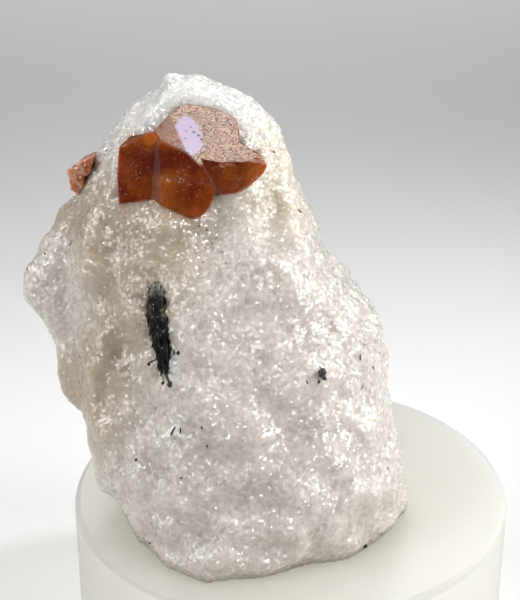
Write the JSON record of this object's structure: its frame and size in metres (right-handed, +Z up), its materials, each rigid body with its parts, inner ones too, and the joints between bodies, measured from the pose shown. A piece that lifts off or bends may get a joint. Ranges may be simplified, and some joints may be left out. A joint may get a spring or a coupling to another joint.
{
  "type": "stillwellite specimen",
  "caption": "Orange-brown stillwellite crystals in granular white quartz with a dark aegirine vein, standing on a clear round display base.",
  "frame": {"origin": "centre of the display base's underside", "axes": "+Z up, -Y towards the face with the crystals, +X to the right of someone who looks at that face"},
  "size_m": [0.0421, 0.0382, 0.0545],
  "materials": {
    "quartz": "granular, translucent",
    "stillwellite": "glassy, partly etched",
    "aegirine": "glassy",
    "acrylic": "clear, polished"
  },
  "bodies": {
    "root": {"quartz_matrix": "quartz", "stillwellite_crystal": "stillwellite", "stillwellite_side_crystal": "stillwellite", "aegirine_vein": "aegirine", "aegirine_grain": "aegirine", "acrylic_base": "acrylic"}
  },
  "joints": []
}
